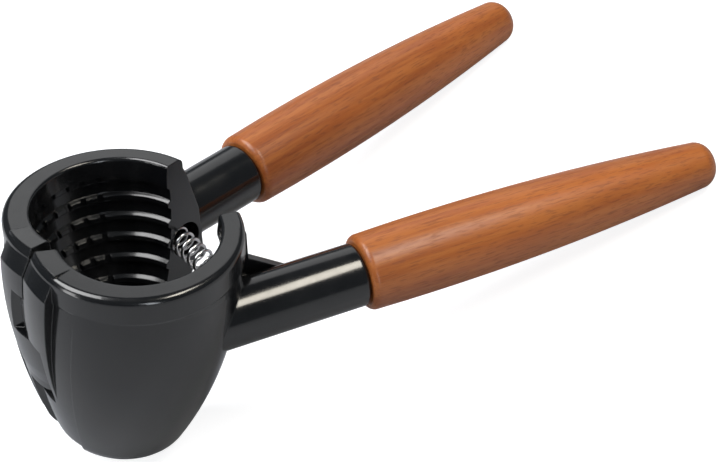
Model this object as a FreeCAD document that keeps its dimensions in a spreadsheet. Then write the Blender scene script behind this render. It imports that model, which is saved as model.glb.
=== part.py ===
"""Hand nutcracker: two hinged half cups with wooden handles, held open by a coil spring.

Everything is drawn closed, in the cup frame: the rim lies in the plane z = 0, the cup's axis
is Z, the handles point along +X and the two jaws meet on the plane y = 0.  Each jaw is then
swung open about the hinge, and the whole tool is tipped until it lies on the cup's foot and
the two handle tips, as it lies on a table.
"""
import FreeCAD, Part
import Sketcher

import math
import os
import re

from FreeCAD import Placement, Rotation, Vector

# ---------------------------------------------------------------- driving dimensions (mm, degrees)

DIMENSIONS = {
    # cup
    "rim_radius": 27.5,
    "rim_height": 8.2,
    "rim_round": 1.8,
    "lip_round": 0.9,
    "waist_radius": 26.2,
    "cup_depth": 65.0,
    "cup_lean": 7.3,
    "belly_radius": 17.0,
    "belly_arc": 111.0,
    "foot_radius": 9.8,
    "foot_height": 4.5,
    "foot_round": 8.2,
    "panel_step": 0.8,
    "panel_shift_x": 0.35,
    "panel_shift_y": 0.35,
    "panel_turn": 141.5,
    # well: the stepped hollow that holds the nut
    "mouth_radius": 20.9,
    "mouth_shift": 0.7,
    "lead_depth": 5.2,
    "lead_step": 0.5,
    "rib_pitch": 6.1,
    "rib_land": 1.3,
    "rib_top_cut": 0.92,
    "rib_top_drop": 0.8,
    "rib_foot_cut": 1.04,
    "rib_foot_rise": 0.58,
    "rib_count": 9,
    "well_widen": 0.0187,
    "well_close": 0.00494,
    "tooth_width": 1.5,
    "tooth_first": 57.0,
    "tooth_step": 13.0,
    "tooth_count": 9,
    "notch_reach": 46.0,
    "notch_inside": 2.5,
    # hinge
    "hinge_x": 28.3,
    "hinge_lean": 9.0,
    "hinge_open": 13.9,
    "knuckle_radius": 3.6,
    "knuckle_gap": 0.3,
    "knuckle_turn": 30.0,
    "knuckle_turn_gap": 3.0,
    "lug_length": 12.5,
    "knuckle_one": 12.8,
    "knuckle_two": 18.0,
    "knuckle_three": 17.6,
    "pin_radius": 1.75,
    "pin_fit": 0.05,
    "pin_top": 14.5,
    "pin_proud": 0.7,
    "strap_turn": 24.0,
    "strap_top_radius": 26.6,
    "strap_top_drop": 2.5,
    "strap_crest_radius": 29.3,
    "strap_crest_drop": 10.0,
    "strap_arc": 105.0,
    "strap_waist_radius": 24.1,
    "strap_waist_drop": 40.5,
    "strap_foot_radius": 16.7,
    "strap_foot_drop": 60.5,
    "split_near": 0.25,
    "split_far": 1.0,
    "split_reach": 70.0,
    "stop_gap": 0.5,
    "below_reach": 20.0,
    # arm and flange
    "arm_radius": 8.55,
    "arm_root_x": 27.8,
    "arm_root_y": 11.05,
    "arm_drop": 24.5,
    "arm_toe_in": 4.06,
    "arm_rise": 2.05,
    "arm_length": 29.6,
    "arm_sink": 14.0,
    "arm_round": 1.3,
    "flange_thickness": 3.4,
    "flange_root": 10.0,
    "flange_depth": 50.0,
    "flange_foot_reach": 19.5,
    "flange_foot_rise": 3.0,
    "flange_hip_reach": 24.5,
    "flange_hip_depth": 40.0,
    "lip_drop": 1.1,
    "lip_depth": 6.1,
    "front_lip_reach": 28.2,
    "rear_lip_reach": 28.7,
    "rear_edge_reach": 32.1,
    "rear_edge_depth": 18.5,
    "gusset_start": 28.6,
    "gusset_top": 14.4,
    "gusset_reach": 40.3,
    "gusset_low": 21.5,
    # spring
    "spring_x": 26.4,
    "spring_drop": 25.8,
    "spring_seat_radius": 5.0,
    "spring_seat_depth": 5.0,
    "spring_boss_wall": 1.3,
    "spring_radius": 3.1,
    "spring_wire": 0.45,
    "spring_turns": 12.0,
    "spring_clear": 0.3,
    # handle and stud
    "wood_length": 108.0,
    "wood_neck_radius": 10.35,
    "wood_face_radius": 8.9,
    "wood_round": 2.0,
    "wood_tip_radius": 6.6,
    "wood_tip_face": 2.6,
    "wood_tip_round": 4.8,
    "wood_arc": 800.0,
    "stud_radius": 3.0,
    "stud_in_arm": 16.0,
    "stud_in_wood": 46.0,
    "stud_fit": 0.05,
    "bore_spare": 2.0,
}

doc = FreeCAD.newDocument("nutcracker")
sheet = doc.addObject("Spreadsheet::Sheet", "Dimensions")
for row, (word, number) in enumerate(DIMENSIONS.items(), start=1):
    sheet.set(f"A{row}", word)
    sheet.set(f"B{row}", str(number))
    sheet.setAlias(f"B{row}", word)
doc.recompute()


def size(word):
    """The sheet's value of one named dimension."""
    return float(getattr(sheet, word))


def bind(formula):
    """A formula of named dimensions as an expression that reads them from the sheet."""
    return re.sub(r"[a-z][a-z_]*", lambda word: WORDS.get(word.group(), word.group()), formula)


def value(formula):
    """The number that a formula of named dimensions gives now, worked out by the sheet."""
    sheet.set(PROBE, "=" + formula)
    sheet.recompute()
    return float(sheet.get(PROBE))


WORDS = {word: f"Dimensions.{word}" for word in DIMENSIONS}
PROBE = "D1"

# ---------------------------------------------------------------- places worked out from the sizes

LEAN = math.radians(size("hinge_lean"))
HINGE_TOP = Vector(-size("hinge_x"), 0, 0)
HINGE_AXIS = Vector(-math.sin(LEAN), 0, math.cos(LEAN))
HINGE_TURN = Rotation(Vector(0, 1, 0), -size("hinge_lean"))
KNUCKLE_FORMULAS = [
    "lug_length",
    "lug_length + knuckle_one",
    "lug_length + knuckle_one + knuckle_two",
    "lug_length + knuckle_one + knuckle_two + knuckle_three",
]
KNUCKLE_END = KNUCKLE_FORMULAS[-1]


def hinge_place(along):
    """A placement on the hinge line, 'along' mm below the rim, with its Z up the hinge."""
    return Placement(HINGE_TOP - HINGE_AXIS * along, HINGE_TURN)


def hinge_line(along):
    """The same place with its Y up the hinge, for an outline turned about the hinge."""
    return Placement(HINGE_TOP - HINGE_AXIS * along, Rotation(Vector(0, 1, 0), HINGE_AXIS))


def arm_way(side):
    """The direction of an arm, towards its handle's tip."""
    toe = math.radians(size("arm_toe_in"))
    rise = math.radians(size("arm_rise"))
    return Vector(math.cos(rise) * math.cos(toe), -side * math.cos(rise) * math.sin(toe), math.sin(rise))


def arm_place(side, along):
    """A placement on an arm's axis with its Z towards the handle's tip."""
    root = Vector(size("arm_root_x"), side * size("arm_root_y"), -size("arm_drop"))
    return Placement(root + arm_way(side) * along, Rotation(Vector(0, 0, 1), arm_way(side)))


def arm_line(side, along):
    """The same place with its Y along the arm, for an outline turned about the arm."""
    return Placement(arm_place(side, along).Base, Rotation(Vector(0, 1, 0), arm_way(side)))


# ---------------------------------------------------------------- drawing helpers

def new_body(label):
    """An empty body whose Label names its file."""
    body = doc.addObject("PartDesign::Body", label)
    body.Label = label
    return body


def origin_plane(body, role):
    """One of the body's own origin planes."""
    return next(feature for feature in body.Origin.OriginFeatures if feature.Role == role)


def new_sketch(body, name, role="XY_Plane", offset=None):
    """A sketch on one of the body's origin planes, moved by an offset in that plane's frame."""
    sketch = body.newObject("Sketcher::SketchObject", name)
    sketch.AttachmentSupport = [(origin_plane(body, role), "")]
    sketch.MapMode = "FlatFace"
    if offset is not None:
        sketch.AttachmentOffset = offset
    return sketch


def draw_circle(sketch, radius):
    """A circle about the sketch's origin with its radius bound to a formula."""
    start = value(radius)
    circle = sketch.addGeometry(Part.Circle(Vector(0, 0, 0), Vector(0, 0, 1), start), False)
    sketch.addConstraint(Sketcher.Constraint("Coincident", circle, 3, -1, 1))
    index = sketch.addConstraint(Sketcher.Constraint("Radius", circle, start))
    sketch.setExpression(f"Constraints[{index}]", bind(radius))


def draw_outline(sketch, corners):
    """A closed outline.  Each corner is (x, y) or (x, y, arc radius of the side that follows).

    A positive arc radius bulges to the right of the way drawn, a negative one to the left.
    """
    spots = [Vector(value(corner[0]), value(corner[1]), 0) for corner in corners]
    sides = []
    for number, corner in enumerate(corners):
        start = spots[number]
        end = spots[(number + 1) % len(spots)]
        if len(corner) == 2:
            sides.append((sketch.addGeometry(Part.LineSegment(start, end), False), 1, 2))
            continue
        radius = value(corner[2])
        chord = end - start
        right = Vector(chord.y, -chord.x, 0).normalize()
        bulge = math.copysign(1.0, radius)
        sagitta = abs(radius) - math.sqrt(radius ** 2 - (chord.Length / 2) ** 2)
        middle = (start + end) * 0.5 + right * (sagitta * bulge)
        arc = Part.Arc(start, middle, end)
        # an arc is stored counter-clockwise, so its first end is the start only when it bulges right
        first = (1, 2) if bulge > 0 else (2, 1)
        sides.append((sketch.addGeometry(arc, False), *first))
    count = len(sides)
    for number, (side, _, last) in enumerate(sides):
        following, first, _ = sides[(number + 1) % count]
        sketch.addConstraint(Sketcher.Constraint("Coincident", side, last, following, first))
    for number, corner in enumerate(corners):
        side, first, _ = sides[number]
        for axis, formula in (("DistanceX", corner[0]), ("DistanceY", corner[1])):
            index = sketch.addConstraint(Sketcher.Constraint(axis, -1, 1, side, first, value(formula)))
            sketch.setExpression(f"Constraints[{index}]", bind(formula))
        if len(corner) == 3:
            radius = abs(value(corner[2]))
            index = sketch.addConstraint(Sketcher.Constraint("Radius", side, radius))
            sketch.setExpression(f"Constraints[{index}]", bind(f"abs({corner[2]})"))


def turn(body, name, sketch, kind="Revolution", angle="360", back=False):
    """A sketch turned about its own upright axis by a formula's degrees, added or cut."""
    feature = body.newObject(f"PartDesign::{kind}", name)
    feature.Profile = sketch
    feature.ReferenceAxis = (sketch, ["V_Axis"])
    feature.Angle = value(angle)
    feature.setExpression("Angle", bind(angle))
    feature.Reversed = back
    return feature


def extrude(body, name, sketch, length, kind="Pad", midplane=False, back=False):
    """A pad or pocket of a sketch with its length bound to a formula."""
    feature = body.newObject(f"PartDesign::{kind}", name)
    feature.Profile = sketch
    feature.Type = 0
    feature.Length = value(length)
    feature.setExpression("Length", bind(length))
    feature.Midplane = midplane
    feature.Reversed = back
    return feature


def well_radius(depth):
    """The formula of the well's clear radius at a depth below its first rib."""
    return (f"mouth_radius - lead_step + well_widen * ({depth}) - well_close * ({depth}) ^ 2")


# ---------------------------------------------------------------- the jaws

def bowl_outline(grow):
    """The bowl's half outline from the axis out and down, 'grow' wider than the waist."""
    return [
        ("0", "-rim_height / 2"),
        (f"waist_radius + {grow}", "-rim_height / 2"),
        (f"waist_radius + {grow}", "-rim_height", "-belly_arc"),
        (f"belly_radius + {grow}", "foot_height - cup_depth", "-foot_round"),
        ("foot_radius", "-cup_depth"),
        ("0", "-cup_depth"),
    ]


def rim_outline():
    """The rim collar's half outline, rounded at the top and below."""
    return [
        ("0", "0"),
        ("rim_radius - rim_round", "0", "-rim_round"),
        ("rim_radius", "-rim_round"),
        ("rim_radius", "-(rim_height - rim_round / 2)", "-rim_round / 2"),
        ("rim_radius - rim_round / 2", "-rim_height"),
        ("0", "-rim_height"),
    ]


def well_outline():
    """The well's half outline: a smooth lead-in, then the ribs as steps, closed at the foot."""
    corners = [
        ("0", "lip_round"),
        ("mouth_radius + lip_round", "lip_round"),
        ("mouth_radius + lip_round", "0", "lip_round"),
        ("mouth_radius", "-lip_round"),
        ("mouth_radius - lead_step", "-lead_depth"),
    ]
    for rib in range(int(size("rib_count"))):
        low = f"{rib} * rib_pitch + rib_land"
        foot = f"{rib + 1} * rib_pitch"
        corners.append((f"{well_radius(low)}", f"-lead_depth - ({low})"))
        corners.append((f"{well_radius(low)} + rib_top_cut", f"-lead_depth - ({low}) - rib_top_drop"))
        corners.append((f"{well_radius(foot)} + rib_foot_cut", f"-lead_depth - ({foot}) + rib_foot_rise"))
        corners.append((f"{well_radius(foot)}", f"-lead_depth - ({foot})"))
    corners.append(("0", f"-lead_depth - ({foot})"))
    return corners


def add_strap(body, label, lean):
    """The thicker band that carries the hinge, proud of the bowl at the rim and flush at the foot."""
    start = Placement(Vector(), Rotation(Vector(0, 1, 0), 180 - size("strap_turn")))
    strap = new_sketch(body, f"{label}_strap_outline", "XZ_Plane", lean.multiply(start))
    draw_outline(strap, [
        ("0", "-strap_top_drop"),
        ("strap_top_radius", "-strap_top_drop"),
        ("strap_crest_radius", "-strap_crest_drop", "-strap_arc"),
        ("strap_waist_radius", "-strap_waist_drop"),
        ("strap_foot_radius", "-strap_foot_drop"),
        ("0", "-strap_foot_drop"),
    ])
    turn(body, f"{label}_strap", strap, angle="2 * strap_turn")


def add_flange(body, label, side, edge):
    """The plate along the split face that stands out past the bowl, and the spring's boss."""
    flange = new_sketch(body, f"{label}_flange_outline", "XZ_Plane")
    above = [("flange_root", "-lip_drop"), ("rim_radius - rim_round / 2", "-lip_drop")]
    below = [
        ("spring_x + spring_seat_radius + spring_boss_wall", "-arm_drop - arm_radius"),
        ("flange_hip_reach", "-flange_hip_depth"),
        ("flange_foot_reach", "flange_foot_rise - flange_depth"),
        ("flange_root", "-flange_depth"),
    ]
    draw_outline(flange, above + edge + below)
    extrude(body, f"{label}_flange", flange, "flange_thickness", back=side > 0)

    seat = Placement(Vector(size("spring_x"), -size("spring_drop"), 0), Rotation())
    boss = new_sketch(body, f"{label}_boss_outline", "XZ_Plane", seat)
    draw_circle(boss, "spring_seat_radius + spring_boss_wall")
    extrude(body, f"{label}_boss", boss, "split_far + spring_seat_depth + spring_boss_wall", back=side > 0)


def add_arm(body, label, side):
    """The round arm, from inside the wall to its rounded end."""
    arm = new_sketch(body, f"{label}_arm_outline", "XY_Plane", arm_line(side, 0))
    draw_outline(arm, [
        ("0", "-arm_sink"),
        ("arm_radius", "-arm_sink"),
        ("arm_radius", "arm_length - arm_round", "arm_round"),
        ("arm_radius - arm_round", "arm_length"),
        ("0", "arm_length"),
    ])
    turn(body, f"{label}_arm", arm)


def cut_split_face(body, label, side):
    """Everything past the jaw's own face goes, as far round the hinge as its knuckles reach."""
    face = new_sketch(body, f"{label}_split_outline", "XY_Plane", hinge_place(0))
    far = "split_near + (split_far - split_near) * split_reach / (2 * rim_radius)"
    draw_outline(face, [
        ("split_reach", f"{-side} * split_reach"),
        ("split_reach", f"{side} * ({far})"),
        ("0", f"{side} * split_near"),
        ("-split_reach * cos(knuckle_turn * 1 deg)", f"{-side} * split_reach * sin(knuckle_turn * 1 deg)"),
        ("-split_reach * cos(knuckle_turn * 1 deg)", f"{-side} * split_reach"),
    ])
    cut = extrude(body, f"{label}_split", face, "3 * split_reach", kind="Pocket")
    cut.Midplane = True


def cut_behind(body, name, side, span, angle):
    """Behind the hinge, along one span of it, the jaw is cut back to an angle from straight out."""
    top, bottom = span
    wedge = new_sketch(body, f"{name}_outline", "XY_Plane", hinge_place(value(bottom)))
    draw_outline(wedge, [
        ("0", f"{side} * split_near"),
        ("0", f"{-side} * split_reach"),
        ("-split_reach", f"{-side} * split_reach"),
        ("-split_reach", f"{side} * (split_near + split_reach * tan(({angle}) * 1 deg))"),
    ])
    extrude(body, name, wedge, f"{bottom} - ({top})", kind="Pocket", back=True)


def add_knuckles(body, label, side, own_spans, other_spans):
    """Room for the other jaw's knuckles, then this jaw's own, as spans along the hinge."""
    stop = "hinge_open + stop_gap"
    cut_behind(body, f"{label}_back_above", side, ("-rim_height", KNUCKLE_FORMULAS[0]), stop)
    cut_behind(body, f"{label}_back_below", side, (KNUCKLE_END, f"{KNUCKLE_END} + below_reach"), stop)
    for number, (top, bottom) in enumerate(other_spans):
        room_span = (f"{top} - knuckle_gap", f"{bottom} + knuckle_gap")
        cut_behind(body, f"{label}_back_{number}", side, room_span,
                   "knuckle_turn + 2 * hinge_open + knuckle_turn_gap")
        room = new_sketch(body, f"{label}_room_{number}_outline", "XY_Plane", hinge_place(value(room_span[1])))
        draw_circle(room, "knuckle_radius + knuckle_gap")
        extrude(body, f"{label}_room_{number}", room, f"{room_span[1]} - ({room_span[0]})",
                kind="Pocket", back=True)
    for number, (top, bottom) in enumerate(own_spans):
        knuckle = new_sketch(body, f"{label}_knuckle_{number}_outline", "XY_Plane", hinge_place(value(bottom)))
        draw_circle(knuckle, "knuckle_radius")
        extrude(body, f"{label}_knuckle_{number}", knuckle, f"{bottom} - ({top})")


def cut_well(body, label, side):
    """The hollow with its ribs, and the notches that turn the ribs near the hinge into teeth."""
    centre = Placement(Vector(size("mouth_shift"), 0, 0), Rotation())
    well = new_sketch(body, f"{label}_well_outline", "XZ_Plane", centre)
    draw_outline(well, well_outline())
    turn(body, f"{label}_well", well, kind="Groove")

    stand = Rotation(Vector(0, 0, 1), side * size("tooth_first")) * Rotation(Vector(1, 0, 0), 90)
    notch = new_sketch(body, f"{label}_notch_outline", "XY_Plane",
                       Placement(Vector(size("mouth_shift"), 0, 0), stand))
    depths = [f"{number} * notch_reach / 5" for number in range(6)]
    outside = [(f"{well_radius(depth)} + rib_top_cut", f"-lead_depth - ({depth})") for depth in depths]
    inside = [(f"{well_radius(depth)} - notch_inside", f"-lead_depth - ({depth})") for depth in depths[::-5]]
    draw_outline(notch, outside + inside)
    cut = extrude(body, f"{label}_notch", notch, "tooth_width", kind="Pocket")
    cut.Midplane = True
    doc.recompute()
    teeth = body.newObject("PartDesign::PolarPattern", f"{label}_teeth")
    teeth.Originals = [cut]
    teeth.Axis = (notch, ["V_Axis"])
    teeth.Reversed = side < 0
    teeth.Angle = value("tooth_step * (tooth_count - 1)")
    teeth.setExpression("Angle", bind("tooth_step * (tooth_count - 1)"))
    teeth.Occurrences = int(size("tooth_count"))
    body.Tip = teeth


def cut_bores(body, label, side):
    """The blind bore for the hinge pin, the spring's seat and the arm's hole for the stud."""
    bore_start = f"{KNUCKLE_END} + bore_spare"
    pin = new_sketch(body, f"{label}_pin_bore_outline", "XY_Plane", hinge_place(value(bore_start)))
    draw_circle(pin, "pin_radius + pin_fit")
    extrude(body, f"{label}_pin_bore", pin, f"{bore_start} - pin_top + pin_fit", kind="Pocket", back=True)

    at = Placement(Vector(size("spring_x"), -size("spring_drop"), 0), Rotation())
    seat = new_sketch(body, f"{label}_seat_outline", "XZ_Plane", at)
    draw_circle(seat, "spring_seat_radius")
    extrude(body, f"{label}_seat", seat, "split_far + spring_seat_depth", kind="Pocket", back=side < 0)

    bore = new_sketch(body, f"{label}_stud_bore_outline", "XY_Plane", arm_place(side, value("arm_length")))
    draw_circle(bore, "stud_radius + stud_fit")
    extrude(body, f"{label}_stud_bore", bore, "stud_in_arm + bore_spare", kind="Pocket")


def build_jaw(label, side, edge, own_spans, other_spans):
    """One half of the cup with its arm; side is +1 on the +Y side and -1 on the -Y side."""
    body = new_body(label)
    upright = "XZ_Plane"

    rim = new_sketch(body, f"{label}_rim_outline", upright)
    draw_outline(rim, rim_outline())
    turn(body, f"{label}_rim", rim)

    lean = Placement(Vector(), Rotation(Vector(0, 0, 1), -size("cup_lean")), Vector(0, -size("rim_height") / 2, 0))
    bowl = new_sketch(body, f"{label}_bowl_outline", upright, lean)
    draw_outline(bowl, bowl_outline("0"))
    turn(body, f"{label}_bowl", bowl)

    # the panel is the same bowl, a little wider and off centre; it stops short of the hinge strap
    shift = Placement(Vector(size("panel_shift_x"), 0, -side * size("panel_shift_y")), Rotation())
    panel = new_sketch(body, f"{label}_panel_outline", upright, shift.multiply(lean))
    draw_outline(panel, bowl_outline("panel_step"))
    turn(body, f"{label}_panel", panel, angle="panel_turn", back=side < 0)

    add_strap(body, label, lean)
    add_flange(body, label, side, edge)
    add_arm(body, label, side)
    cut_split_face(body, label, side)
    add_knuckles(body, label, side, own_spans, other_spans)
    cut_well(body, label, side)
    cut_bores(body, label, side)
    return body


# ---------------------------------------------------------------- handles, studs, pin and spring

def build_handle(label, side):
    """A turned wooden handle with a blind bore for its stud."""
    body = new_body(label)
    outline = new_sketch(body, f"{label}_outline", "XY_Plane", arm_line(side, size("arm_length")))
    draw_outline(outline, [
        ("0", "0"),
        ("wood_face_radius", "0", "wood_round"),
        ("wood_neck_radius", "wood_round", "wood_arc"),
        ("wood_tip_radius", "wood_length - wood_tip_round", "wood_tip_round"),
        ("wood_tip_face", "wood_length"),
        ("0", "wood_length"),
    ])
    turn(body, f"{label}_turning", outline)
    bore = new_sketch(body, f"{label}_bore_outline", "XY_Plane", arm_place(side, size("arm_length")))
    draw_circle(bore, "stud_radius + stud_fit")
    extrude(body, f"{label}_bore", bore, "stud_in_wood + bore_spare", kind="Pocket", back=True)
    return body


def build_stud(label, side):
    """The steel stud that joins an arm to its handle."""
    body = new_body(label)
    place = arm_place(side, value("arm_length - stud_in_arm"))
    outline = new_sketch(body, f"{label}_outline", "XY_Plane", place)
    draw_circle(outline, "stud_radius")
    extrude(body, f"{label}_rod", outline, "stud_in_arm + stud_in_wood")
    return body


def build_pin():
    """The hinge pin, from inside the top knuckle to a rounded end below the last one."""
    body = new_body("hinge_pin")
    outline = new_sketch(body, "hinge_pin_outline", "XY_Plane", hinge_line(0))
    draw_outline(outline, [
        ("0", "-pin_top"),
        ("0", f"-({KNUCKLE_END}) - pin_proud"),
        ("pin_radius - pin_proud", f"-({KNUCKLE_END}) - pin_proud", "pin_proud"),
        ("pin_radius", f"-({KNUCKLE_END})"),
        ("pin_radius", "-pin_top"),
    ])
    turn(body, "hinge_pin_turning", outline)
    return body


def build_spring(open_rear):
    """The coil spring between the two seats, drawn where the jaws stand open."""
    floor = Vector(size("spring_x"), size("split_far") + size("spring_seat_depth"), -size("spring_drop"))
    end = open_rear.multVec(floor)
    half = end.y - size("spring_clear") - size("spring_wire")
    lean = size("spring_radius") * math.sin(math.radians(size("hinge_open")))
    half -= lean
    helix = doc.addObject("Part::Helix", "spring_line")
    helix.setExpression("Radius", bind("spring_radius"))
    helix.Pitch = 2 * half / size("spring_turns")
    helix.Height = 2 * half
    wire = doc.addObject("Part::Circle", "spring_wire_section")
    wire.setExpression("Radius", bind("spring_wire"))
    wire.Placement = Placement(Vector(size("spring_radius"), 0, 0), Rotation(Vector(1, 0, 0), 90))
    doc.recompute()
    spring = doc.addObject("Part::Sweep", "spring")
    spring.Sections = [wire]
    spring.Spine = (helix, ["Edge1"])
    spring.Solid = True
    spring.Frenet = True
    spring.Label = "spring"
    doc.recompute()
    return spring, Placement(Vector(end.x, -half, end.z), Rotation(Vector(1, 0, 0), -90))


# ---------------------------------------------------------------- assembly

FRONT_EDGE = [
    ("front_lip_reach", "-lip_depth"),
    ("gusset_start", "-gusset_top"),
    ("gusset_reach", "-gusset_low"),
    ("gusset_reach", "-arm_drop - arm_radius / 2"),
]
REAR_EDGE = [("rear_lip_reach", "-lip_depth"), ("rear_edge_reach", "-rear_edge_depth")]
SPANS = [(KNUCKLE_FORMULAS[number], KNUCKLE_FORMULAS[number + 1]) for number in range(3)]
front_spans = [SPANS[0], SPANS[2]]
rear_spans = [SPANS[1]]


def swing(side):
    """The turn about the hinge that opens the jaw on the given side."""
    turned = Rotation(HINGE_AXIS, side * size("hinge_open"))
    return Placement(Vector(), turned, HINGE_TOP)


MESH_STEP = 0.05
opened = {1: swing(1), -1: swing(-1)}
sides = (
    ("front", -1, FRONT_EDGE, front_spans, rear_spans),
    ("rear", 1, REAR_EDGE, rear_spans, front_spans),
)
loose = []
for name, side, edge, own, others in sides:
    loose.append((build_jaw(f"{name}_jaw", side, edge, own, others), opened[side]))
    loose.append((build_handle(f"{name}_handle", side), opened[side]))
    loose.append((build_stud(f"{name}_handle_stud", side), opened[side]))
loose.append((build_pin(), opened[-1]))
loose.append(build_spring(opened[1]))
doc.recompute()


def lowest(points, tip):
    """The lowest height of some points once the tool is tipped by an angle in degrees."""
    turned = Rotation(Vector(0, 1, 0), tip)
    return min(turned.multVec(point).z for point in points)


def surface_points(names):
    """Points on the surfaces of some pieces where the jaws stand open."""
    points = []
    for piece, place in loose:
        if piece.Label in names:
            shape = piece.Shape.copy()
            shape.Placement = place.multiply(shape.Placement)
            points.extend(shape.tessellate(MESH_STEP)[0])
    return points


cup = surface_points(("front_jaw", "rear_jaw"))
tips = surface_points(("front_handle", "rear_handle"))
level, steep = 0.0, 40.0
for _ in range(30):
    tip_angle = (level + steep) / 2
    if lowest(cup, tip_angle) < lowest(tips, tip_angle):
        level = tip_angle
    else:
        steep = tip_angle
tipped = Rotation(Vector(0, 1, 0), tip_angle)
box = FreeCAD.BoundBox()
for point in cup + tips:
    box.add(tipped.multVec(point))
rest = Placement(Vector(-box.Center.x, -box.Center.y, -box.ZMin), tipped)

for piece, place in loose:
    piece.Placement = rest.multiply(place)
doc.recompute()

for item in doc.Objects:
    if "Invalid" in item.State or "Error" in item.State:
        raise RuntimeError(f"{item.Name} failed: {item.State}")
for piece, _ in loose:
    if piece.Shape.isNull() or not piece.Shape.isValid():
        raise RuntimeError(f"{piece.Label} has no valid shape")

os.makedirs("parts", exist_ok=True)
for piece, _ in loose:
    piece.Shape.exportStep(f"parts/{piece.Label}.step")
    print(f"{piece.Label}: {piece.Shape.Volume / 1000:.2f} cm3, {len(piece.Shape.Solids)} solid")

hinge = rest.multVec(HINGE_TOP)
axis = tipped.multVec(HINGE_AXIS)
print("tip angle", round(tip_angle, 3), "rest", rest.Base)
print("hinge at", hinge, "axis", axis)
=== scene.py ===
"""Looks of a hand nutcracker: black enamelled jaws, turned wooden handles and a steel spring."""

import logging
import math
from dataclasses import dataclass, field
from enum import Enum

import bmesh
import bpy
from mathutils import Euler, Matrix, Vector


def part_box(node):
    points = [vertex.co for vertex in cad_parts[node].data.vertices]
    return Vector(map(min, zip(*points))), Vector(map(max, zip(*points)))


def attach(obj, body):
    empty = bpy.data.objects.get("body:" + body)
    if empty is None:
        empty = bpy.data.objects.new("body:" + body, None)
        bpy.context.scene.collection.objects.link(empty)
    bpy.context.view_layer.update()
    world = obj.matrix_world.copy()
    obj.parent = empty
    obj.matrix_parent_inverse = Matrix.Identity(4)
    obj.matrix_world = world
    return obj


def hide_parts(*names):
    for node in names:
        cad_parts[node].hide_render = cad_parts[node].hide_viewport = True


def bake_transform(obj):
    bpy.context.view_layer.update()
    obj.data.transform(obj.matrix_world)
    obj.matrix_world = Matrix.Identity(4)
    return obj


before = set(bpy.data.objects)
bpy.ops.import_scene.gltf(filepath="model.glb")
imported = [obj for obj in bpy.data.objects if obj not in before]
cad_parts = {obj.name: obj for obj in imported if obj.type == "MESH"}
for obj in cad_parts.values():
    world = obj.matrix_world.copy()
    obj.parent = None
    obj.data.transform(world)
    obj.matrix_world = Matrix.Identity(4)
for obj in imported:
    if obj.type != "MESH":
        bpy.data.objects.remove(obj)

LOG = logging.getLogger("nutcracker")

Triple = tuple[float, float, float]

MM = 0.001
WHITE: Triple = (1.0, 1.0, 1.0)


class Side(Enum):
    """The two halves of the tool, by the name that their nodes begin with."""

    FRONT = "front"
    REAR = "rear"


class Pattern(Enum):
    """The names of the shader groups that several finishes share."""

    SKIN = "poured_skin"
    GRAIN = "turned_grain"


# ---------------------------------------------------------------- shader helpers

def new_material(name: str) -> tuple[bpy.types.Material, bpy.types.ShaderNodeTree, bpy.types.Node]:
    """Make an empty node material that holds one Principled shader.

    Args:
        name: the material's name.

    Returns:
        The material, its node tree and the shader node.
    """
    material = bpy.data.materials.new(name)
    material.use_nodes = True
    tree = material.node_tree
    tree.nodes.clear()
    shader = tree.nodes.new("ShaderNodeBsdfPrincipled")
    output = tree.nodes.new("ShaderNodeOutputMaterial")
    tree.links.new(shader.outputs["BSDF"], output.inputs["Surface"])
    return material, tree, shader


def new_group(pattern: Pattern, inputs: dict[str, tuple[str, object]],
              outputs: dict[str, str]) -> tuple[bpy.types.ShaderNodeTree, bpy.types.Node, bpy.types.Node]:
    """Make an empty shader group with named sockets.

    Args:
        pattern: which shared pattern the group holds.
        inputs: each input's socket type and first value; None leaves the value alone.
        outputs: each output's socket type.

    Returns:
        The group's tree with its input and output nodes.
    """
    tree = bpy.data.node_groups.new(pattern.value, "ShaderNodeTree")
    for name, (kind, start) in inputs.items():
        socket = tree.interface.new_socket(name, in_out="INPUT", socket_type=kind)
        if start is not None:
            socket.default_value = start
    for name, kind in outputs.items():
        tree.interface.new_socket(name, in_out="OUTPUT", socket_type=kind)
    return tree, tree.nodes.new("NodeGroupInput"), tree.nodes.new("NodeGroupOutput")


def place_group(tree: bpy.types.ShaderNodeTree, group: bpy.types.ShaderNodeTree,
                values: dict[str, object]) -> bpy.types.Node:
    """Put a shared group into a material's tree.

    Args:
        tree: the material's tree.
        group: the shared group.
        values: the group's input values for this material.

    Returns:
        The group node.
    """
    node = tree.nodes.new("ShaderNodeGroup")
    node.node_tree = group
    for name, number in values.items():
        node.inputs[name].default_value = number
    return node


def add_noise(tree: bpy.types.ShaderNodeTree, scale: float, detail: float,
              rough: float = 0.5) -> bpy.types.Node:
    """Add a noise texture with its plain settings.

    Args:
        tree: the tree to add to.
        scale: the noise's scale, in waves a metre where the vector is in metres.
        detail: how many octaves.
        rough: how strong the finer octaves are.

    Returns:
        The noise node.
    """
    node = tree.nodes.new("ShaderNodeTexNoise")
    node.inputs["Scale"].default_value = scale
    node.inputs["Detail"].default_value = detail
    node.inputs["Roughness"].default_value = rough
    return node


def add_range(tree: bpy.types.ShaderNodeTree, low: float, high: float, to_low: float,
              to_high: float) -> bpy.types.Node:
    """Add a clamped map from one range of numbers to another.

    Args:
        tree: the tree to add to.
        low: where the input range starts.
        high: where the input range ends.
        to_low: the value given at the start.
        to_high: the value given at the end.

    Returns:
        The map range node.
    """
    node = tree.nodes.new("ShaderNodeMapRange")
    node.inputs["From Min"].default_value = low
    node.inputs["From Max"].default_value = high
    node.inputs["To Min"].default_value = to_low
    node.inputs["To Max"].default_value = to_high
    return node


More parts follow.
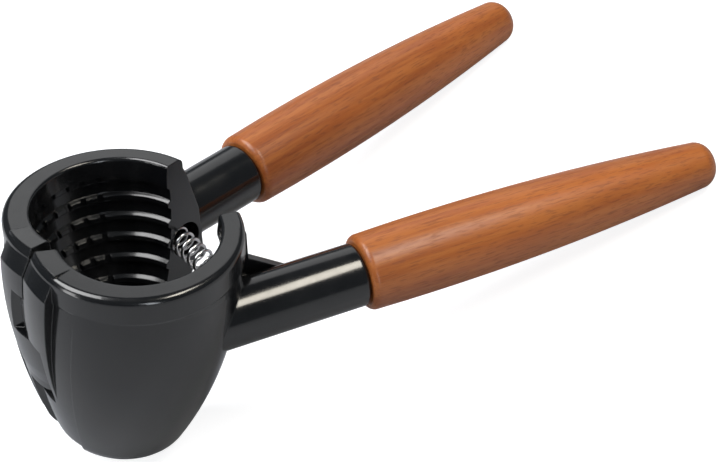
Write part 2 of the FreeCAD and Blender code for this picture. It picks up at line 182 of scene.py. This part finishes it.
def add_math(tree: bpy.types.ShaderNodeTree, operation: str, first: object, second: object) -> bpy.types.Node:
    """Add a maths node whose two inputs are sockets or numbers.

    Args:
        tree: the tree to add to.
        operation: the maths node's operation.
        first: a socket or a number.
        second: a socket or a number.

    Returns:
        The maths node.
    """
    node = tree.nodes.new("ShaderNodeMath")
    node.operation = operation
    for index, term in enumerate((first, second)):
        if isinstance(term, bpy.types.NodeSocket):
            tree.links.new(term, node.inputs[index])
        else:
            node.inputs[index].default_value = term
    return node


def add_mix(tree: bpy.types.ShaderNodeTree, mask: bpy.types.NodeSocket, first: object,
            second: object) -> bpy.types.NodeSocket:
    """Mix two colours by a mask.

    Args:
        tree: the tree to add to.
        mask: the socket that says how much of the second colour shows.
        first: a colour or a colour socket.
        second: a colour or a colour socket.

    Returns:
        The mixed colour's socket.
    """
    node = tree.nodes.new("ShaderNodeMix")
    node.data_type = "RGBA"
    tree.links.new(mask, node.inputs["Factor"])
    for name, term in (("A", first), ("B", second)):
        socket = next(item for item in node.inputs if item.name == name and item.type == "RGBA")
        if isinstance(term, bpy.types.NodeSocket):
            tree.links.new(term, socket)
        else:
            socket.default_value = (*term, 1.0)
    return next(item for item in node.outputs if item.type == "RGBA")


def skin_group() -> bpy.types.ShaderNodeTree:
    """Build the shared skin: slow waves and fine specks that any coated or drawn surface has.

    Returns:
        The group, with outputs Roughness and Height.
    """
    found = bpy.data.node_groups.get(Pattern.SKIN.value)
    if found:
        return found
    tree, start, end = new_group(
        Pattern.SKIN,
        {"Vector": ("NodeSocketVector", None), "Wave Scale": ("NodeSocketFloat", 120.0),
         "Speck Scale": ("NodeSocketFloat", 2500.0), "Smoothest": ("NodeSocketFloat", 0.15),
         "Roughest": ("NodeSocketFloat", 0.3)},
        {"Roughness": "NodeSocketFloat", "Height": "NodeSocketFloat"})
    wave = add_noise(tree, 120.0, 2.0)
    speck = add_noise(tree, 2500.0, 2.0)
    for node, scale in ((wave, "Wave Scale"), (speck, "Speck Scale")):
        tree.links.new(start.outputs["Vector"], node.inputs["Vector"])
        tree.links.new(start.outputs[scale], node.inputs["Scale"])
    blend = add_math(tree, "MULTIPLY", speck.outputs["Fac"], 0.3)
    height = add_math(tree, "ADD", wave.outputs["Fac"], blend.outputs["Value"])
    spread = add_range(tree, 0.35, 0.95, 0.0, 1.0)
    tree.links.new(height.outputs["Value"], spread.inputs["Value"])
    rough = tree.nodes.new("ShaderNodeMapRange")
    tree.links.new(spread.outputs["Result"], rough.inputs["Value"])
    tree.links.new(start.outputs["Smoothest"], rough.inputs["To Min"])
    tree.links.new(start.outputs["Roughest"], rough.inputs["To Max"])
    tree.links.new(rough.outputs["Result"], end.inputs["Roughness"])
    tree.links.new(height.outputs["Value"], end.inputs["Height"])
    return tree


def grain_group() -> bpy.types.ShaderNodeTree:
    """Build the shared wood grain, which runs along the vector's X.

    Returns:
        The group, with outputs Tone, Streak, Fleck and Height.
    """
    found = bpy.data.node_groups.get(Pattern.GRAIN.value)
    if found:
        return found
    tree, start, end = new_group(
        Pattern.GRAIN,
        {"Vector": ("NodeSocketVector", None)},
        {"Tone": "NodeSocketFloat", "Streak": "NodeSocketFloat", "Fleck": "NodeSocketFloat",
         "Height": "NodeSocketFloat"})

    def along(stretch: Triple) -> bpy.types.NodeSocket:
        """Squeeze the vector along the grain by the three factors and return its socket."""
        node = tree.nodes.new("ShaderNodeMapping")
        node.inputs["Scale"].default_value = stretch
        tree.links.new(start.outputs["Vector"], node.inputs["Vector"])
        return node.outputs["Vector"]

    tone = add_noise(tree, 1.0, 3.0)
    tree.links.new(along((12.0, 60.0, 60.0)), tone.inputs["Vector"])
    tone_spread = add_range(tree, 0.32, 0.68, 0.0, 1.0)
    tree.links.new(tone.outputs["Fac"], tone_spread.inputs["Value"])

    streak = add_noise(tree, 1.0, 4.0, 0.6)
    tree.links.new(along((26.0, 620.0, 620.0)), streak.inputs["Vector"])
    streak_spread = add_range(tree, 0.4, 0.6, 0.0, 1.0)
    tree.links.new(streak.outputs["Fac"], streak_spread.inputs["Value"])

    fleck = add_noise(tree, 1.0, 2.0, 0.5)
    tree.links.new(along((230.0, 2400.0, 2400.0)), fleck.inputs["Vector"])
    fleck_spread = add_range(tree, 0.54, 0.64, 0.0, 1.0)
    tree.links.new(fleck.outputs["Fac"], fleck_spread.inputs["Value"])

    lifted = add_math(tree, "MULTIPLY", streak_spread.outputs["Result"], 0.35)
    height = add_math(tree, "SUBTRACT", lifted.outputs["Value"], fleck_spread.outputs["Result"])
    tree.links.new(tone_spread.outputs["Result"], end.inputs["Tone"])
    tree.links.new(streak_spread.outputs["Result"], end.inputs["Streak"])
    tree.links.new(fleck_spread.outputs["Result"], end.inputs["Fleck"])
    tree.links.new(height.outputs["Value"], end.inputs["Height"])
    return tree


# ---------------------------------------------------------------- finishes

@dataclass(frozen=True)
class BlackEnamel:
    """Glossy black enamel over a casting, with a faint orange-peel and softened edges."""

    colour: Triple = (0.0035, 0.0038, 0.0045)
    worn: Triple = (0.0075, 0.0078, 0.0085)
    smoothest: float = 0.14
    roughest: float = 0.24
    wave_scale: float = 260.0
    speck_scale: float = 3200.0
    cloud_scale: float = 90.0
    peel: float = 0.05
    peel_height: float = 0.04 * MM
    edge_round: float = 0.5 * MM
    edge_samples: int = 6
    coat: float = 0.35
    coat_rough: float = 0.06

    def build(self) -> bpy.types.Material:
        """Make the material."""
        material, tree, shader = new_material("black_enamel")
        place = tree.nodes.new("ShaderNodeTexCoord")
        skin = place_group(tree, skin_group(), {
            "Wave Scale": self.wave_scale, "Speck Scale": self.speck_scale,
            "Smoothest": self.smoothest, "Roughest": self.roughest})
        tree.links.new(place.outputs["Object"], skin.inputs["Vector"])
        tree.links.new(skin.outputs["Roughness"], shader.inputs["Roughness"])
        cloud = add_noise(tree, self.cloud_scale, 3.0)
        tree.links.new(place.outputs["Object"], cloud.inputs["Vector"])
        mask = add_range(tree, 0.4, 0.75, 0.0, 1.0)
        tree.links.new(cloud.outputs["Fac"], mask.inputs["Value"])
        colour = add_mix(tree, mask.outputs["Result"], self.colour, self.worn)
        tree.links.new(colour, shader.inputs["Base Color"])
        edge = tree.nodes.new("ShaderNodeBevel")
        edge.samples = self.edge_samples
        edge.inputs["Radius"].default_value = self.edge_round
        bump = tree.nodes.new("ShaderNodeBump")
        bump.inputs["Strength"].default_value = self.peel
        bump.inputs["Distance"].default_value = self.peel_height
        tree.links.new(skin.outputs["Height"], bump.inputs["Height"])
        tree.links.new(edge.outputs["Normal"], bump.inputs["Normal"])
        tree.links.new(bump.outputs["Normal"], shader.inputs["Normal"])
        shader.inputs["Coat Weight"].default_value = self.coat
        shader.inputs["Coat Roughness"].default_value = self.coat_rough
        return material


@dataclass(frozen=True)
class TurnedWood:
    """Satin reddish-brown wood with its grain along the handle."""

    name: str
    way: Triple
    shift: Triple
    dark: Triple = (0.225, 0.054, 0.011)
    light: Triple = (0.41, 0.115, 0.022)
    pale: Triple = (0.48, 0.17, 0.038)
    pore: Triple = (0.12, 0.027, 0.008)
    smoothest: float = 0.38
    roughest: float = 0.5
    streak: float = 0.4
    fleck: float = 0.4
    pore_bump: float = 0.12
    pore_depth: float = 0.06 * MM
    coat: float = 0.1
    coat_rough: float = 0.3

    def build(self) -> bpy.types.Material:
        """Make the material, its grain turned to lie along the handle."""
        material, tree, shader = new_material(self.name)
        place = tree.nodes.new("ShaderNodeTexCoord")
        turned = tree.nodes.new("ShaderNodeMapping")
        turned.vector_type = "TEXTURE"
        turned.inputs["Location"].default_value = self.shift
        turned.inputs["Rotation"].default_value = Vector(self.way).to_track_quat("X", "Z").to_euler()
        tree.links.new(place.outputs["Object"], turned.inputs["Vector"])
        grain = place_group(tree, grain_group(), {})
        tree.links.new(turned.outputs["Vector"], grain.inputs["Vector"])
        ground = add_mix(tree, grain.outputs["Tone"], self.dark, self.light)
        softened = add_math(tree, "MULTIPLY", grain.outputs["Streak"], self.streak)
        streaked = add_mix(tree, softened.outputs["Value"], ground, self.pale)
        thinned = add_math(tree, "MULTIPLY", grain.outputs["Fleck"], self.fleck)
        flecked = add_mix(tree, thinned.outputs["Value"], streaked, self.pore)
        tree.links.new(flecked, shader.inputs["Base Color"])
        rough = add_range(tree, 0.0, 1.0, self.smoothest, self.roughest)
        tree.links.new(grain.outputs["Fleck"], rough.inputs["Value"])
        tree.links.new(rough.outputs["Result"], shader.inputs["Roughness"])
        bump = tree.nodes.new("ShaderNodeBump")
        bump.inputs["Strength"].default_value = self.pore_bump
        bump.inputs["Distance"].default_value = self.pore_depth
        tree.links.new(grain.outputs["Height"], bump.inputs["Height"])
        tree.links.new(bump.outputs["Normal"], shader.inputs["Normal"])
        shader.inputs["Coat Weight"].default_value = self.coat
        shader.inputs["Coat Roughness"].default_value = self.coat_rough
        return material


@dataclass(frozen=True)
class Steel:
    """Bare steel, from bright drawn wire to a plain turned pin."""

    name: str
    colour: Triple
    dull: Triple
    smoothest: float
    roughest: float
    wave_scale: float = 900.0
    speck_scale: float = 5200.0
    drawn: float = 0.1
    drawn_height: float = 0.02 * MM

    def build(self) -> bpy.types.Material:
        """Make the material."""
        material, tree, shader = new_material(self.name)
        place = tree.nodes.new("ShaderNodeTexCoord")
        skin = place_group(tree, skin_group(), {
            "Wave Scale": self.wave_scale, "Speck Scale": self.speck_scale,
            "Smoothest": self.smoothest, "Roughest": self.roughest})
        tree.links.new(place.outputs["Object"], skin.inputs["Vector"])
        tree.links.new(skin.outputs["Roughness"], shader.inputs["Roughness"])
        mask = add_range(tree, 0.4, 0.9, 0.0, 1.0)
        tree.links.new(skin.outputs["Height"], mask.inputs["Value"])
        colour = add_mix(tree, mask.outputs["Result"], self.colour, self.dull)
        tree.links.new(colour, shader.inputs["Base Color"])
        bump = tree.nodes.new("ShaderNodeBump")
        bump.inputs["Strength"].default_value = self.drawn
        bump.inputs["Distance"].default_value = self.drawn_height
        tree.links.new(skin.outputs["Height"], bump.inputs["Height"])
        tree.links.new(bump.outputs["Normal"], shader.inputs["Normal"])
        shader.inputs["Metallic"].default_value = 1.0
        return material


# ---------------------------------------------------------------- pieces

def dress(node: str, material: bpy.types.Material) -> None:
    """Give one node of the frame its finish.

    Args:
        node: the node's name.
        material: the finish.
    """
    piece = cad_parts[node]
    piece.data.materials.clear()
    piece.data.materials.append(material)
    LOG.info("dressed %s in %s", node, material.name)


def new_piece(name: str, mesh: bmesh.types.BMesh, material: bpy.types.Material, body: str) -> bpy.types.Object:
    """Turn a finished bmesh into a piece that rides on a body.

    Args:
        name: the piece's name.
        mesh: its shape, in place.
        material: its finish.
        body: the body that it rides on; an empty name leaves that to the caller.

    Returns:
        The new object.
    """
    data = bpy.data.meshes.new(name)
    bmesh.ops.recalc_face_normals(mesh, faces=mesh.faces[:])
    mesh.to_mesh(data)
    mesh.free()
    data.shade_smooth()
    data.materials.append(material)
    piece = bpy.data.objects.new(name, data)
    bpy.context.scene.collection.objects.link(piece)
    if body:
        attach(piece, body)
    LOG.info("built %s with %d faces", name, len(data.polygons))
    return piece


@dataclass
class Jaw:
    """One half of the cup with its arm and its handle."""

    side: Side
    way: Triple
    shift: Triple
    pin_steel: bpy.types.Material
    enamel: bpy.types.Material

    def dress(self) -> None:
        """Give the casting, the stud and the handle their finishes."""
        wood = TurnedWood(f"{self.side.value}_handle_wood", self.way, self.shift).build()
        dress(f"{self.side.value}_jaw", self.enamel)
        dress(f"{self.side.value}_handle", wood)
        dress(f"{self.side.value}_handle_stud", self.pin_steel)


@dataclass
class CoilSpring:
    """The spring that opens the jaws: even turns with a closed turn at each end."""

    wire: float = 0.45 * MM
    coil: float = 3.1 * MM
    turns: float = 10.0
    closed: float = 1.0
    closed_slack: float = 1.04
    steps: int = 28
    ring: int = 12

    def build(self, steel: bpy.types.Material) -> None:
        """Wind the wire about the line between the two seats.

        Args:
            steel: the wire's finish.
        """
        low, high = (Vector(corner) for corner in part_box("spring"))
        centre = (low + high) / 2
        start = low.y + self.wire
        closing = 2 * self.wire * self.closed_slack
        rise = high.y - low.y - 2 * self.wire - 2 * self.closed * closing
        mesh = bmesh.new()
        bmesh.ops.create_circle(
            mesh, segments=self.ring, radius=self.wire,
            matrix=Matrix.Translation((centre.x + self.coil, start, centre.z)))
        edges = mesh.edges[:]
        pitches = (closing, rise / self.turns, closing)
        for pitch, turns in zip(pitches, (self.closed, self.turns, self.closed)):
            steps = round(self.steps * turns)
            wound = bmesh.ops.spin(
                mesh, geom=edges, cent=(centre.x, 0.0, centre.z), axis=(0.0, 1.0, 0.0),
                dvec=(0.0, pitch / self.steps, 0.0), angle=2 * math.pi * turns, steps=steps)
            edges = [item for item in wound["geom_last"] if isinstance(item, bmesh.types.BMEdge)]
        bmesh.ops.remove_doubles(mesh, verts=mesh.verts[:], dist=0.001 * MM)
        bmesh.ops.holes_fill(mesh, edges=[edge for edge in mesh.edges if edge.is_boundary], sides=0)
        piece = new_piece("spring_coil", mesh, steel, "")
        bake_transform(piece)
        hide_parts("spring")


# ---------------------------------------------------------------- studio

@dataclass
class Softbox:
    """One soft lamp that looks at the cup."""

    name: str
    place: Triple
    target: Triple
    width: float
    height: float
    power: float
    colour: Triple = WHITE

    def build(self) -> None:
        """Add the lamp."""
        data = bpy.data.lights.new(self.name, "AREA")
        data.shape = "RECTANGLE"
        data.size = self.width
        data.size_y = self.height
        data.energy = self.power
        data.color = self.colour
        lamp = bpy.data.objects.new(self.name, data)
        lamp.location = self.place
        aim = Vector(self.target) - Vector(self.place)
        lamp.rotation_euler = aim.to_track_quat("-Z", "Y").to_euler()
        bpy.context.scene.collection.objects.link(lamp)
        LOG.info("lamp %s", self.name)


@dataclass
class Studio:
    """The pale floor, the soft lamps and the faint cool world around the tool."""

    floor_reach: float = 3.0
    floor_colour: Triple = (0.4, 0.41, 0.435)
    floor_rough: float = 0.9
    floor_glow: float = 0.85
    world_strength: float = 0.13
    world_colour: Triple = (0.8, 0.9, 1.0)
    lamps: list[Softbox] = field(default_factory=list)

    def build(self) -> None:
        """Build the floor, the world and the lamps."""
        self.build_floor()
        self.build_world()
        for lamp in self.lamps:
            lamp.build()

    def build_floor(self) -> None:
        """Lay a wide floor that the camera sees as white and that keeps the tool's shadow."""
        mesh = bmesh.new()
        bmesh.ops.create_grid(mesh, x_segments=1, y_segments=1, size=self.floor_reach)
        data = bpy.data.meshes.new("floor")
        mesh.to_mesh(data)
        mesh.free()
        floor = bpy.data.objects.new("floor", data)
        bpy.context.scene.collection.objects.link(floor)
        material, tree, shader = new_material("pale_floor")
        shader.inputs["Base Color"].default_value = (*self.floor_colour, 1.0)
        shader.inputs["Roughness"].default_value = self.floor_rough
        path = tree.nodes.new("ShaderNodeLightPath")
        seen = add_math(tree, "MULTIPLY", path.outputs["Is Camera Ray"], self.floor_glow)
        shader.inputs["Emission Color"].default_value = (*WHITE, 1.0)
        tree.links.new(seen.outputs["Value"], shader.inputs["Emission Strength"])
        data.materials.append(material)

    def build_world(self) -> None:
        """Make the surroundings: white to the camera, softer to everything else."""
        world = bpy.data.worlds.new("studio")
        world.use_nodes = True
        tree = world.node_tree
        tree.nodes.clear()
        path = tree.nodes.new("ShaderNodeLightPath")
        strength = add_range(tree, 0.0, 1.0, self.world_strength, 1.0)
        tree.links.new(path.outputs["Is Camera Ray"], strength.inputs["Value"])
        background = tree.nodes.new("ShaderNodeBackground")
        tree.links.new(
            add_mix(tree, path.outputs["Is Camera Ray"], self.world_colour, WHITE),
            background.inputs["Color"])
        tree.links.new(strength.outputs["Result"], background.inputs["Strength"])
        output = tree.nodes.new("ShaderNodeOutputWorld")
        tree.links.new(background.outputs["Background"], output.inputs["Surface"])
        bpy.context.scene.world = world


@dataclass
class CameraStand:
    """The camera, above and in front of the cup, looking down along the handles."""

    place: Triple = (-0.180261, -0.409457, 0.450509)
    turn_degrees: Triple = (44.5316, 11.6186, -36.0123)
    lens: float = 112.955
    sensor: float = 36.0

    def build(self) -> None:
        """Add the camera and make it the scene's own."""
        data = bpy.data.cameras.new("camera")
        data.lens = self.lens
        data.sensor_width = self.sensor
        data.clip_start = 0.02
        stand = bpy.data.objects.new("camera", data)
        stand.location = self.place
        stand.rotation_euler = Euler([math.radians(angle) for angle in self.turn_degrees])
        bpy.context.scene.collection.objects.link(stand)
        bpy.context.scene.camera = stand
        LOG.info("camera at %s", self.place)


def main() -> None:
    """Build the whole scene in order."""
    logging.basicConfig(level=logging.INFO, format="%(name)s: %(message)s")
    bpy.context.scene.view_settings.view_transform = "Standard"
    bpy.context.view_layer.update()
    CameraStand().build()
    Studio(lamps=[
        Softbox("key", (-0.25, 0.25, 0.85), (-0.03, 0.0, 0.04), 0.7, 0.5, 9.0),
        Softbox("fill", (-0.3, -0.95, 0.35), (-0.03, 0.0, 0.04), 0.2, 0.5, 1.8, (0.9, 0.95, 1.0)),
        Softbox("strip", (0.33, -0.31, 0.72), (-0.02, -0.03, 0.03), 0.4, 0.18, 3.4, (1.0, 0.94, 0.82)),
        Softbox("rim", (0.5, 0.58, 0.46), (-0.05, 0.0, 0.06), 0.6, 0.45, 0.8),
        Softbox("edge", (-0.9, 0.1, 0.3), (-0.03, 0.0, 0.04), 0.2, 0.6, 2.0),
    ]).build()
    pin_steel = Steel("pin_steel", (0.42, 0.42, 0.43), (0.3, 0.3, 0.31), 0.3, 0.45).build()
    wire_steel = Steel("wire_steel", (0.82, 0.82, 0.83), (0.62, 0.62, 0.63), 0.14, 0.26).build()
    enamel = BlackEnamel().build()
    Jaw(Side.FRONT, (0.96242, -0.16918, -0.21243), (0.011, 0.004, 0.002), pin_steel, enamel).dress()
    Jaw(Side.REAR, (0.96242, 0.16918, -0.21243), (0.043, 0.019, 0.007), pin_steel, enamel).dress()
    dress("hinge_pin", pin_steel)
    CoilSpring().build(wire_steel)


if __name__ == "__main__":
    main()
